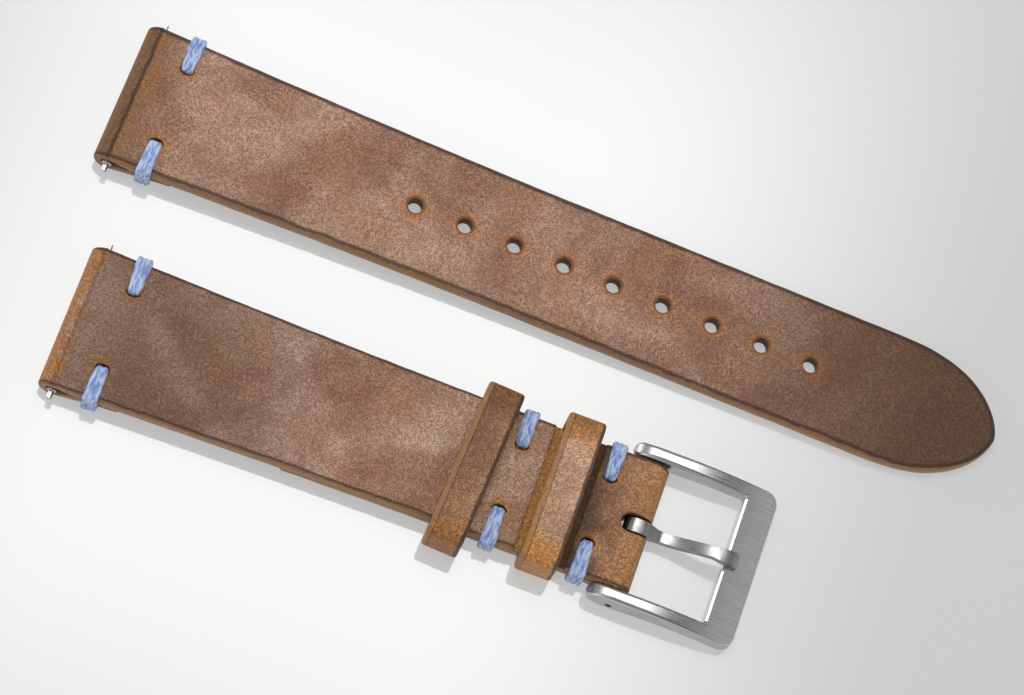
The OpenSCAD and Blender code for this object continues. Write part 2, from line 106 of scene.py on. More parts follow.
# Buckle
BAR_X = SHORT_L - LOOP_R
BAR_Z = LOOP_R
BUCKLE_IN_W = 18
FRAME_X = BAR_X + 16.5
FRONT_W = 4.3
WINDOW_X = FRAME_X - FRONT_W
ARM_BACK = 3.4
ARM_W = 1.9
FRONT_H = 2.2
CREST_H = 4.3
CREST_X = BAR_X + 3.3
ARCH_RISE = 1.1
ARCH_X = BAR_X + 6.7
CORNER_R = 1.7
INNER_R = 0.5
ARM_EDGE_R = 0.62
FRONT_EDGE_R = 0.4
FOOT_R = 0.4
RIM_BEVEL = 0.28
PIVOT_HOLE_R = 0.45
TONGUE_W = 1.9
BLADE_W = 1.5
NARROW_X = BAR_X + 1.1
NARROW_L = 2.2
WIDEN_X = WINDOW_X - 1.8
WIDEN_L = 1.5
TONGUE_T = 1.0
TONGUE_GAP = 0.06
TONGUE_LAP = 1.6
TONGUE_X = WINDOW_X + TONGUE_LAP
TONGUE_BEVEL_L = 0.5
TONGUE_EDGE_R = 0.2
EYE_R = 1.6
EYE_WALL = 0.8
TONGUE_BEND_L = 2.8
WAIST_X = BAR_X + EYE_WALL + TONGUE_BEND_L
WAIST_Z = 2.5

# Lay-out: the middle of the box round both pieces is the origin
MIDDLE_X, MIDDLE_Y = 56.8321, 15.2769
LONG_X, LONG_Y, LONG_YAW = -4.31, 31.41, -1.11
LONG_DROP = math.atan(UNDER_Z / (LONG_L - LOOP_R))
TABLE_Z = -0.02 * MM

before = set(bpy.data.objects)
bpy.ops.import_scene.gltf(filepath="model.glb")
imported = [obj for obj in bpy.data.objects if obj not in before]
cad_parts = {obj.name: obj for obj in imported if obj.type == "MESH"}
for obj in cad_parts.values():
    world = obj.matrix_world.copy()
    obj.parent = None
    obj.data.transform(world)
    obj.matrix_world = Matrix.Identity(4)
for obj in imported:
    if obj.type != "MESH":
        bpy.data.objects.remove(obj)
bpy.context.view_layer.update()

SHORT_LAY = Matrix.Scale(MM, 4) @ Matrix.Translation((-MIDDLE_X, -MIDDLE_Y, 0))
LONG_LAY = (
    SHORT_LAY
    @ Matrix.Translation((LONG_X, LONG_Y, 0))
    @ Matrix.Rotation(math.radians(LONG_YAW), 4, "Z")
    @ Matrix.Translation((LOOP_R, 0, LOOP_R))
    @ Matrix.Rotation(LONG_DROP, 4, "Y")
    @ Matrix.Translation((-LOOP_R, 0, -LOOP_R))
)


# ---- Outlines ----


def half_width(x, end_w, taper_l):
    """Half the width of a piece at x from its watch end."""
    return (end_w + (LUG_W - end_w) * max(0.0, 1 - x / taper_l) ** TAPER_POWER) / 2


def long_half(x):
    """Half the width of the long piece at x."""
    return half_width(x, LONG_W, LONG_TAPER_L)


def short_half(x):
    """Half the width of the short piece at x."""
    return half_width(x, SHORT_W, SHORT_TAPER_L)


def portion(value, start, end):
    """How far a value has come from start to end, from 0 to 1."""
    return max(0.0, min(1.0, (value - start) / (end - start)))


def run(start, end, step):
    """Even steps from start to end."""
    count = max(2, round(abs(end - start) / step))
    return [start + (end - start) * i / count for i in range(count + 1)]


def line(start, end, step):
    """Even points from start towards end, without the end itself."""
    count = max(1, round(math.dist(start, end) / step))
    return [(start[0] + (end[0] - start[0]) * i / count,
             start[1] + (end[1] - start[1]) * i / count) for i in range(count)]


def eased(start, end, steps):
    """Points from start to end that set off and arrive level."""
    return [(start[0] + (end[0] - start[0]) * i / steps,
             start[1] + (end[1] - start[1]) * (1 - math.cos(math.pi * i / steps)) / 2)
            for i in range(steps + 1)]


def arc(middle, radius, start, end, steps):
    """Points on an arc in the plane of the side outline, angles in degrees."""
    turns = [math.radians(start + (end - start) * i / steps) for i in range(steps + 1)]
    return [(middle[0] + radius * math.cos(a), middle[1] + radius * math.sin(a)) for a in turns]


def oval(rx, ry, n=40):
    """Outline of an oval hole."""
    return [(rx * math.cos(2 * math.pi * i / n), ry * math.sin(2 * math.pi * i / n))
            for i in range(n)]


# ---- Mesh tools ----


def place_object(name, mesh):
    """Object of a mesh, in the scene."""
    made = bpy.data.objects.new(name, mesh)
    bpy.context.scene.collection.objects.link(made)
    return made


def shape(name, verts, faces, uvs=None, edges=()):
    """Object from points, faces, one list of texture points per map, and loose edges."""
    mesh = bpy.data.meshes.new(name)
    mesh.from_pydata(verts, edges, faces)
    for map_name, points in (uvs or {}).items():
        layer = mesh.uv_layers.new(name=map_name)
        for loop in mesh.loops:
            layer.data[loop.index].uv = points[loop.vertex_index]
    return place_object(name, mesh)


def tube_faces(count, n, closed=False):
    """Faces between rings of n points, with a face at each end unless the rings are closed."""
    faces = []
    for i in range(count if closed else count - 1):
        k = (i + 1) % count
        for j in range(n):
            m = (j + 1) % n
            faces.append((i * n + j, k * n + j, k * n + m, i * n + m))
    if not closed:
        faces.append(tuple(range(n)))
        faces.append(tuple((count - 1) * n + j for j in range(n - 1, -1, -1)))
    return faces


def clean(piece, merge=1e-5, sharp=38):
    """Closes seams, turns faces outwards, smooths them and keeps corners sharp."""
    mesh = bmesh.new()
    mesh.from_mesh(piece.data)
    bmesh.ops.remove_doubles(mesh, verts=mesh.verts, dist=merge)
    bmesh.ops.recalc_face_normals(mesh, faces=mesh.faces)
    for face in mesh.faces:
        face.smooth = True
    for edge in mesh.edges:
        edge.smooth = len(edge.link_faces) == 2 and edge.calc_face_angle(0) < math.radians(sharp)
    mesh.to_mesh(piece.data)
    mesh.free()
    return piece


def prism(name, points, merge=1e-6, sharp=38):
    """Block between two outlines, given as one list of points."""
    return clean(shape(name, points, tube_faces(2, len(points) // 2)), merge, sharp)


def bake(piece):
    """Turns the piece's modifiers into plain mesh."""
    seen = piece.evaluated_get(bpy.context.evaluated_depsgraph_get())
    mesh = bpy.data.meshes.new_from_object(seen)
    piece.modifiers.clear()
    piece.data = mesh


def carve(piece, cutter, way="DIFFERENCE"):
    """Cuts the cutter out of the piece, and the cutter's own materials line the cut."""
    cut = piece.modifiers.new("cut", "BOOLEAN")
    cut.object, cut.operation, cut.solver, cut.material_mode = cutter, way, "EXACT", "TRANSFER"
    bake(piece)
    bpy.data.objects.remove(cutter)


def dress(piece, *materials):
    """Gives the whole piece its first material and keeps the others ready for single faces."""
    piece.data.materials.clear()
    for material in materials:
        piece.data.materials.append(material)
    piece.data.polygons.foreach_set("material_index", [0] * len(piece.data.polygons))


def lay(piece, place, body, slot, *nodes):
    """Lays a finished piece in its place, on its body, for the nodes that it stands for."""
    piece.data.transform(place)
    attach(piece, body)
    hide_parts(*nodes)


# ---- Leather bands ----

FACE_INSETS = [0, 0.02, 0.06, 0.12, 0.2, 0.3, 0.42, 0.6, 0.9, 1.3]
BACK_INSETS = [0, 0.06, 0.18, 0.6]
CUT_INSETS = [CUT_END_R * (1 - math.cos(math.radians(a))) for a in (0, 20, 40, 60, 80)]
WALL_ROWS = 4
WAVE_REACH = 0.5
BACK_TONE, BACK_MIDDLE_TONE = -10, -12
FLAT_STEP, FOLD_STEP = 0.9, 0.35


def rounding(inset, radius):
    """Depth of a rounded edge at a distance in from it."""
    return radius - math.sqrt(max(0.0, radius**2 - max(0.0, radius - inset) ** 2))


def band(name, stations, across, hide, closed=False, rows=14, top_r=TOP_EDGE_R):
    """Band of leather through its stations.

    A station is (face point, back point, half width, lean of the outline's normal, distance along).
    across(a, b, c) puts a point of the side outline, c across the band, in three dimensions.
    The edge map's second value is the distance in from the edge on the face, less than 0 down
    the cut side, and near BACK_TONE on the back.
    """
    verts, edge_map, plan_map = [], [], []
    rim = len(FACE_INSETS) - 1
    for face, back, half, lean, along in stations:
        down = Vector((back[0] - face[0], back[1] - face[1]))
        thick = down.length
        down /= thick
        top, low = min(top_r, thick * 0.45), min(LOW_EDGE_R, thick * 0.3)
        walls = [top + (thick - top - low) * (i + 1) / WALL_ROWS for i in range(WALL_ROWS)]
        flank = [(d, rounding(d, top), d) for d in FACE_INSETS[::-1]]
        flank += [(0, depth, -depth) for depth in walls]
        flank += [(d, thick - rounding(d, low), BACK_TONE - d) for d in BACK_INSETS[1:]]
        ring = [(1, *spot) for spot in flank[rim::-1]]
        ring += [(1 - 2 * i / rows, None, 0, None) for i in range(1, rows)]
        ring += [(-1, *spot) for spot in flank]
        ring += [(share, None, thick, BACK_MIDDLE_TONE) for share in (-0.5, 0, 0.5)]
        ring += [(1, *spot) for spot in flank[:rim:-1]]
        for share, inset, depth, tone in ring:
            deep = inset
            if inset is None:
                deep = BACK_INSETS[-1] if depth else FACE_INSETS[-1]
            c = share * (half - lean[1] * deep)
            if inset is not None and inset < WAVE_REACH:
                side = 1 if share > 0 else -1
                ragged = noise.noise(Vector((along * 0.45, side * 9.0, depth * 0.8)))
                c += side * EDGE_WAVE * (1 - inset / WAVE_REACH) * ragged
            if tone is None:
                tone = max(deep, half - abs(c))
            a = face[0] + down.x * depth - lean[0] * deep
            b = face[1] + down.y * depth
            verts.append(across(a, b, c))
            edge_map.append((along, tone))
            plan_map.append((along if closed else a, c))
    faces = tube_faces(len(stations), len(verts) // len(stations), closed)
    piece = clean(shape(name, verts, faces, {"edge": edge_map, "plan": plan_map}), 2e-4)
    piece.data.materials.append(hide)
    return piece


def flat_across(a, b, c):
    """A strap lies along X, its width along Y."""
    return (a, c, b)


def ring_across(a, b, c):
    """A keeper goes round in Y and Z, its width along X."""
    return (c, a, b)


def with_lengths(stations, start=0):
    """Adds a square outline and the distance along to plain stations."""
    done, along = [], start
    for i, (face, back, half) in enumerate(stations):
        if i:
            along += math.dist(face, stations[i - 1][0])
        done.append((face, back, half, (0, 1), along))
    return done


def slab(start, end, step, face, back, width):
    """Stations along a strap; its face and its back have one height or a height at each x."""
    top, low = (z if callable(z) else (lambda x, z=z: z) for z in (face, back))
    return [((x, top(x)), (x, low(x)), width(x)) for x in run(start, end, step)]


def cut_end(spots, back, width):
    """Stations at a cut end with a rounded upper edge, from places and distances in from it."""
    return [((x, TOP_Z - rounding(d, CUT_END_R)), (x, back(x)), width(x)) for x, d in spots]


def turn_stations(x, start, steps, half):
    """Stations half round a bar at x, from a start angle, a little narrower on the way."""
    outer, inner = (arc((x, LOOP_R), r, start, start + 180, steps) for r in (LOOP_R, BORE_R))
    return [(face, back, half - FOLD_TUCK * math.sin(math.pi * i / steps))
            for i, (face, back) in enumerate(zip(outer, inner))]


def opened(closed, wall, middle_x, close_x):
    """Height of a fold's inner face: closed as far as close_x, then opening to a bar's wall."""
    def height(x):
        share = math.sin(portion(x, close_x, middle_x) * math.pi / 2) ** 1.5
        return closed + (wall - closed) * share
    return height


def flap_low(x):
    """Height of the watch-end flap's lower face at x."""
    return (UNDER_Z - FLAP_END_T) * (x - LOOP_R) / (FLAP_L - LOOP_R)


def fold_low(x):
    """Height of the lower face at x, where the lower layer comes down to the buckle's bar."""
    return LAP_Z * (BAR_X - x) / (BAR_X - FOLD_END_X)


def skived(gap):
    """Height of the joint between the short piece's layers, a gap above or below the glue."""
    return lambda x: UNDER_Z + (JOINT_Z + gap - UNDER_Z) * portion(x, SKIVE_X, SKIVE_X + SKIVE_L)


def watch_fold(width):
    """Stations round the watch end, from the flat strap to the end of the flap underneath."""
    upper = opened(UNDER_Z, LOOP_R + BORE_R, LOOP_R, WATCH_FOLD_CLOSE_X)
    lower = opened(UNDER_Z - 2 * GLUE_GAP, LOOP_R - BORE_R, LOOP_R, WATCH_FOLD_CLOSE_X)
    return (slab(9, LOOP_R + 0.2, 0.3, TOP_Z, upper, width)
            + turn_stations(LOOP_R, 90, 22, width(0))
            + slab(LOOP_R + 0.3, FLAP_L, 0.4, flap_low, lower, width))


def tip_edge(a):
    """Distance along and half width of the pointed tip, from its point (0) to its side."""
    share = math.cos(min(a, math.pi / 2))
    return LONG_L - TIP_L + TIP_L * share, LONG_W / 2 * (1 - share**TIP_POINT) ** TIP_ROUND


def long_leather():
    """Strip of the long piece: rounded tip, flat run and watch-end fold."""
    tip = []
    steps = 44
    for i in range(steps):
        a = math.radians(90 * (i / steps) ** 1.15)
        x, half = tip_edge(a)
        before, after = tip_edge(max(0.0, a - 0.01)), tip_edge(a + 0.01)
        slope = Vector((after[1] - before[1], before[0] - after[0])).normalized()
        tip.append(((x, TOP_Z), (x, UNDER_Z), half, tuple(slope) if i else (1, 0), LONG_L - x))
    flat = slab(LONG_L - TIP_L, 9.5, FLAT_STEP, TOP_Z, UNDER_Z, long_half)
    return tip + with_lengths(flat + watch_fold(long_half), TIP_L)


def short_leather():
    """Top strip of the short piece: cut end beside the fixed keeper, skive and watch-end fold."""
    under = skived(GLUE_GAP)
    cut = cut_end([(LAP_END_X - d, d) for d in (*CUT_INSETS, 1)], under, short_half)
    flat = slab(LAP_END_X - 1.8, 9.5, FLAT_STEP, TOP_Z, under, short_half)
    return with_lengths(cut + flat + watch_fold(short_half))


def buckle_leather():
    """Lower layer: under the strap and the keepers, round the buckle's bar and back on top."""
    close_x, joint = BAR_X - BUCKLE_FOLD_CLOSE_L, JOINT_Z + GLUE_GAP
    lower = opened(JOINT_Z - 2 * GLUE_GAP, BAR_Z - BORE_R, BAR_X, close_x)
    upper = opened(joint, BAR_Z + BORE_R + GLUE_GAP, BAR_X, close_x)
    start_x = SKIVE_X - 0.3
    cut = [(FOLD_END_X + d, d) for d in CUT_INSETS[::-1]]
    return with_lengths(
        [((start_x, SKIVE_TIP_LOW), (start_x, SKIVE_TIP_HIGH), short_half(SKIVE_X))]
        + slab(SKIVE_X, LAP_END_X - 0.1, FLAT_STEP, LAP_Z, skived(-GLUE_GAP), short_half)
        + slab(LAP_END_X + 0.02, FOLD_END_X - 0.03, FOLD_STEP, LAP_Z, SEAT_Z, short_half)
        + slab(FOLD_END_X, BAR_X - 0.2, FOLD_STEP, fold_low, lower, short_half)
        + turn_stations(BAR_X, -90, 24, short_half(BAR_X))
        + slab(BAR_X - 0.2, FOLD_END_X + 0.5, FOLD_STEP, TOP_Z, upper, short_half)
        + cut_end(cut, lambda x: joint, short_half))


def keeper(name, in_w, length, hide):
    """Leather loop of a keeper, from the middle of its base and back to it."""
    in_r = KEEPER_R - KEEPER_T
    reach, low, high = in_w / 2 - in_r, KEEPER_R, KEEPER_H - KEEPER_R
    middles = [(0, low), (reach, low), (reach, high), (-reach, high), (-reach, low), (0, low)]
    stations = []
    for side, step in enumerate((0.9, 0.6, 0.7, 0.6, 0.9)):
        turn = 90 * side - 90
        spots = [(spot, turn) for spot in line(middles[side], middles[side + 1], step)]
        if side < 4:
            spots += [(middles[side + 1], turn + 90 * i / 8) for i in range(8)]
        for spot, way in spots:
            face, back = (arc(spot, r, way, way, 1)[0] for r in (KEEPER_R, in_r))
            stations.append((face, back, length / 2))
    return band(name, with_lengths(stations), ring_across, hide, True, 8, KEEPER_EDGE_R)


def punch(piece, spots, outline, bottom, flare):
    """Cuts upright holes into a piece, flared where they meet its face."""
    levels = [(TOP_Z + 0.6, flare), (TOP_Z + 0.01, flare), (TOP_Z - flare * 0.3, flare * 0.25),
              (TOP_Z - flare, 0.0), (bottom, 0.0)]
    n = len(outline)
    verts, faces, tones = [], [], []
    for x, y in spots:
        base = len(verts)
        for z, out in levels:
            for px, py in outline:
                size = math.hypot(px, py) or 1
                verts.append((x + px * (1 + out / size), y + py * (1 + out / size), z))
        faces += [tuple(base + v for v in face) for face in tube_faces(len(levels), n)]
        tones += [0] * n + [1] * (2 * n) + [0] * (n + 2)
    cutter = shape("punch", verts, faces)
    dress(cutter, hole_wall, hole_rim)
    for polygon, tone in zip(cutter.data.polygons, tones):
        polygon.material_index = tone
        polygon.use_smooth = True
    carve(piece, cutter)


def stitch_holes(piece, bottom, sewn):
    """Cuts the holes of a piece's stitches, for each place along it and its half width there."""
    spots = [(x, s * (edge - STITCH_HOLE_REACH)) for x, edge in sewn for s in (1, -1)]
    punch(piece, spots, oval(STITCH_HOLE_RX, STITCH_HOLE_RY), bottom, 0.12)


# ---- Buckle ----

FRAME_SHARP = 32


def frame_top(x):
    """Height of the frame's upper face at x, level up to the crest, then falling to the front."""
    return CREST_H - (CREST_H - FRONT_H) * portion(x, CREST_X, FRAME_X) ** 2


def frame_low(x):
    """Height of the frame's arched lower face at x."""
    return ARCH_RISE * (1 - ((max(x, BAR_X) - ARCH_X) / (FRAME_X - ARCH_X)) ** 2)


def frame_stations():
    """Stations from the back end of the far arm round the front to that of the near arm.

    A station is (inner point, outer point, share of the full height, edge radius, inner bevel).
    """
    half = []
    inner_y, outer_y = BUCKLE_IN_W / 2, BUCKLE_IN_W / 2 + ARM_W
    middle_y = (inner_y + outer_y) / 2
    for i in range(1, 15):
        a = math.radians(90 * i / 15)
        x = BAR_X - ARM_BACK * math.cos(a)
        reach = (x - BAR_X + ARM_BACK) / (ARM_W / 2)
        wide = (math.sqrt(reach * (2 - reach)) if reach < 1 else 1) * ARM_W / 2
        tall = math.sin(a)
        edge_r = ARM_EDGE_R * min(wide / ARM_W * 2, tall)
        half.append(((x, middle_y - wide), (x, middle_y + wide), tall, edge_r, 0))
    for i in range(29):
        share = i / 28
        in_x = BAR_X + share * (WINDOW_X - INNER_R - BAR_X)
        out_x = BAR_X + share * (FRAME_X - CORNER_R - BAR_X)
        edge_r = ARM_EDGE_R + share**2 * (FRONT_EDGE_R - ARM_EDGE_R)
        half.append(((in_x, inner_y), (out_x, outer_y), 1, edge_r, 0))
    for i in range(1, 17):
        a = math.radians(90 * i / 16)
        s, c = 1 - math.sin(a), 1 - math.cos(a)
        half.append(((WINDOW_X - INNER_R * s, inner_y - INNER_R * c),
                     (FRAME_X - CORNER_R * s, outer_y - CORNER_R * c),
                     1, FRONT_EDGE_R, min(1, i / 5)))
    for y in run(half[-1][0][1], 0, 1.2)[1:-1]:
        half.append(((WINDOW_X, y), (FRAME_X, y), 1, FRONT_EDGE_R, 1))
    return half + [((a[0], -a[1]), (b[0], -b[1]), *rest) for a, b, *rest in half[::-1]]


def frame_section(inner, outer, tall, edge_r, bevel):
    """Section of the frame: lower edges rounded, outer upper edge rounded, inner one bevelled."""
    way = Vector((outer[0] - inner[0], outer[1] - inner[1]))
    wide = way.length
    way /= wide

    def level(across, upper):
        x = inner[0] + way.x * across
        low, high = frame_low(x), frame_top(x)
        return (low + high) / 2 + (high - low) / 2 * tall * (1 if upper else -1)

    height = level(0, True) - level(0, False)
    foot = min(FOOT_R, wide * 0.25, height * 0.25)
    rounds = [(1 - math.cos(a), 1 - math.sin(a)) for a in (math.pi / 2 * i / 7 for i in range(8))]
    section = [(foot * c, foot * s, False) for c, s in rounds[::2]]
    section.append((wide / 2, 0, False))
    section += [(wide - foot * s, foot * c, False) for c, s in rounds[1::2]]
    section.append((wide, (height - edge_r + foot) / 2, False))
    section += [(wide - edge_r * c, -edge_r * s, True) for c, s in rounds]
    in_r = edge_r + (RIM_BEVEL - edge_r) * bevel
    flat = wide - edge_r - in_r
    section += [(wide - edge_r - flat * share, 0, True) for share in (0.2, 0.4, 0.6, 0.8)]
    for i, (c, s) in enumerate(rounds):
        cut = portion(i / 7, 0.07, 0.93)
        section.append((in_r * (s + (1 - cut - s) * bevel), -in_r * (c + (cut - c) * bevel), True))
    section.append((0, (height - in_r + foot) / 2, False))
    return [(inner[0] + way.x * u, inner[1] + way.y * u, level(u, upper) + z)
            for u, z, upper in section]


def rod(radius, start_y, end_y):
    """Rod about the buckle's bar, along Y."""
    outline = oval(radius, radius)
    return prism("drill", [(BAR_X + x, y, BAR_Z + z) for y in (start_y, end_y) for x, z in outline])


def buckle_frame():
    """Arched frame of the buckle, with the bar's hole through each arm."""
    rings = [frame_section(*station) for station in frame_stations()]
    verts = [point for ring in rings for point in ring]
    piece = shape("satin_frame", verts, tube_faces(len(rings), len(rings[0])))
    clean(piece, 1e-4, FRAME_SHARP)
    for start_y, end_y in ((7, 13), (-13, -7)):
        carve(piece, rod(PIVOT_HOLE_R, start_y, end_y))
    return clean(piece, sharp=FRAME_SHARP)


def blade_shape():
    """Upright block with the tongue's outline seen from above."""
    wide, slim = TONGUE_W / 2, BLADE_W / 2
    half = [(BAR_X - EYE_R - 1, wide)]
    half += eased((NARROW_X, wide), (NARROW_X + NARROW_L, slim), 8)
    half += eased((WIDEN_X, slim), (WIDEN_X + WIDEN_L, wide), 8)
    half.append((TONGUE_X + 1, wide))
    outline = half + [(x, -y) for x, y in half[::-1]]
    return prism("blade_block", [(x, y, z) for z in (-1, 8) for x, y in outline])


def buckle_tongue():
    """Tongue: an eye round the bar, a waist, a rising blade and a tip over the front bar."""
    waist, sharp = (WAIST_X, WAIST_Z), 30
    crest = (WINDOW_X - TONGUE_LAP / 2, frame_top(WINDOW_X) + TONGUE_GAP + TONGUE_T)
    outline = arc((BAR_X, BAR_Z), EYE_R, 345, 90, 40)
    outline += eased((BAR_X + EYE_WALL, BAR_Z + EYE_R), waist, 12)[1:]
    rise = eased(waist, crest, 16)
    lap = [(x, frame_top(x) + TONGUE_GAP) for x in run(WINDOW_X + 0.3, TONGUE_X, 0.35)]
    outline += rise[1:]
    outline += [(x, z + TONGUE_T) for x, z in lap if x < TONGUE_X - TONGUE_BEVEL_L]
    outline += [(TONGUE_X, lap[-1][1] + TONGUE_T / 2)] + lap[::-1]
    outline.append((WINDOW_X - 0.2, crest[1] - TONGUE_T))
    outline += [(x, z - TONGUE_T) for x, z in rise[-2::-1]]
    outline.append((BAR_X + 2.2, WAIST_Z - TONGUE_T + 0.02))
    verts = [(x, y, z) for y in (TONGUE_W, -TONGUE_W) for x, z in outline]
    piece = prism("satin_tongue", verts, 1e-4, sharp)
    carve(piece, blade_shape(), "INTERSECT")
    soften = clean(piece, 1e-4, sharp).modifiers.new("soften", "BEVEL")
    soften.width, soften.segments, soften.limit_method = TONGUE_EDGE_R, 4, "ANGLE"
    soften.angle_limit = math.radians(32)
    bake(piece)
    carve(piece, rod(EYE_R - EYE_WALL, -3, 3))
    return clean(piece, sharp=40)


# ---- Node tools ----


def plug(made, inputs):
    """Sets the inputs of a node, or links them to values."""
    for key, value in inputs.items():
        if isinstance(value, Value):
            value.tree.links.new(value.socket, made.inputs[key])
        else:
            made.inputs[key].default_value = value


def node(tree, kind, inputs=None, **settings):
    """A node with its settings, values and links."""
    made = tree.nodes.new(kind)
    for key, value in settings.items():
        setattr(made, key, value)
    plug(made, inputs or {})
    return made


class Value:
    """Output of a node, with which sums can be written."""

    def __init__(self, socket):
        self.socket, self.tree = socket, socket.id_data

    def calc(self, operation, other=0.0, clamp=False):
        """Result of one sum."""
        return take(self.tree, "ShaderNodeMath", 0, {0: self, 1: other},
                    operation=operation, use_clamp=clamp)

    def __add__(self, other):
        return self.calc("ADD", other)

    def __sub__(self, other):
        return self.calc("SUBTRACT", other)

    def __mul__(self, other):
        return self.calc("MULTIPLY", other)

    def __abs__(self):
        return self.calc("ABSOLUTE")

    def fade(self, start, end, low=0.0, high=1.0):
        """Smooth change from low at start to high at end."""
        return take(self.tree, "ShaderNodeMapRange", "Result",
                    {"Value": self, "From Min": start, "From Max": end,
                     "To Min": low, "To Max": high}, interpolation_type="SMOOTHSTEP")

    def vector(self, operation, other):
        """Result of one sum with vectors."""
        key = "Scale" if operation == "SCALE" else 1
        return take(self.tree, "ShaderNodeVectorMath", 0, {0: self, key: other},
                    operation=operation)


def take(tree, kind, output, inputs=None, **settings):
    """One output of a new node."""
    return Value(node(tree, kind, inputs, **settings).outputs[output])


def axes(vector):
    """The X, Y and Z of a vector."""
    made = node(vector.tree, "ShaderNodeSeparateXYZ", {0: vector})
    return [Value(socket) for socket in made.outputs]


def distance(across, along):
    """Distance of a point from the origin of two measures."""
    return (across * across + along * along).calc("SQRT")


def tint(share, first, second, mode="MIX"):
    """Mix of two colours, of which the first or the share comes from a node."""
    colours = [c if isinstance(c, Value) else (*c, 1) for c in (first, second)]
    tree = (share if isinstance(share, Value) else first).tree
    return take(tree, "ShaderNodeMix", 2, {0: share, 6: colours[0], 7: colours[1]},
                data_type="RGBA", blend_type=mode)


def grey(value):
    """A value as a grey."""
    return take(value.tree, "ShaderNodeCombineColor", 0, {0: value, 1: value, 2: value})


def clouds(place, scale, detail, roughness=0.5, distortion=0.0, output="Fac", seed=None):
    """Noise at a place; a seed makes it one of many."""
    inputs = {"Vector": place, "Scale": scale, "Detail": detail, "Roughness": roughness,
              "Distortion": distortion}
    if seed:
        inputs["W"] = seed
    return take(place.tree, "ShaderNodeTexNoise", output, inputs,
                noise_dimensions="4D" if seed else "3D")


def bumps(height, strength, depth):
    """Normal of a surface with a relief."""
    return take(height.tree, "ShaderNodeBump", "Normal",
                {"Height": height, "Strength": strength, "Distance": depth})


def new_group(name, kind, inlets, outlets, outlet="Float"):
    """Node group with named outputs and inputs, and the inputs' values by name.

    An input is given by its value, or by its kind where it has none of its own.
    """
    tree = bpy.data.node_groups.new(name, kind)
    for label, value in inlets.items():
        given = {int: "Int", float: "Float"}.get(type(value))
        socket = tree.interface.new_socket(label, in_out="INPUT",
                                           socket_type=f"NodeSocket{given or value}")
        if given:
            socket.default_value = value
    for label in outlets:
        tree.interface.new_socket(label, in_out="OUTPUT", socket_type=f"NodeSocket{outlet}")
    inlet = node(tree, "NodeGroupInput")
    return tree, {label: Value(inlet.outputs[label]) for label in inlets}


def use_group(tree, group, inputs):
    """Places a shader node group and gives its outputs by name."""
    made = node(tree, "ShaderNodeGroup", node_tree=group)
    plug(made, inputs)
    return {socket.name: Value(socket) for socket in made.outputs}


def new_material(name):
    """Material, its tree and its surface shader."""
    material = bpy.data.materials.new(name)
    material.use_nodes = True
    tree = material.node_tree
    return material, tree, tree.nodes["Principled BSDF"]


def object_place(tree, scale=1000.0):
    """Place on the piece itself, in millimetres."""
    return take(tree, "ShaderNodeTexCoord", "Object").vector("SCALE", scale)


# ---- Stitches ----

WANDER_SCALE = 420.0
WANDER_REACH = 0.00028


def stitch_path(x, side, edge, low_z):
    """Closed side path of one stitch: up through its hole, over the edge and back underneath."""
    inner, outer = edge - STITCH_REACH, edge + 0.06 + THREAD_R * 0.8
    low, high = low_z - THREAD_R * 0.8, TOP_Z + THREAD_R * 0.75
    turn = THREAD_BEND_R
    corners = []
    for cy, cz, start in ((outer - turn, high - turn, 90), (outer - turn, low + turn, 0),
                          (inner + turn, low + turn, -90), (inner + turn, high - turn, -180)):
        corners += arc((cy, cz), turn, start, start - 90, 7)
    path = []
    for i, corner in enumerate(corners):
        path += line(corner, corners[(i + 1) % len(corners)], 0.25)
    spread = [0.66 + 0.34 * portion(y, inner, outer) ** 0.7 for y, z in path]
    return [(x, side * y, z) for y, z in path], spread


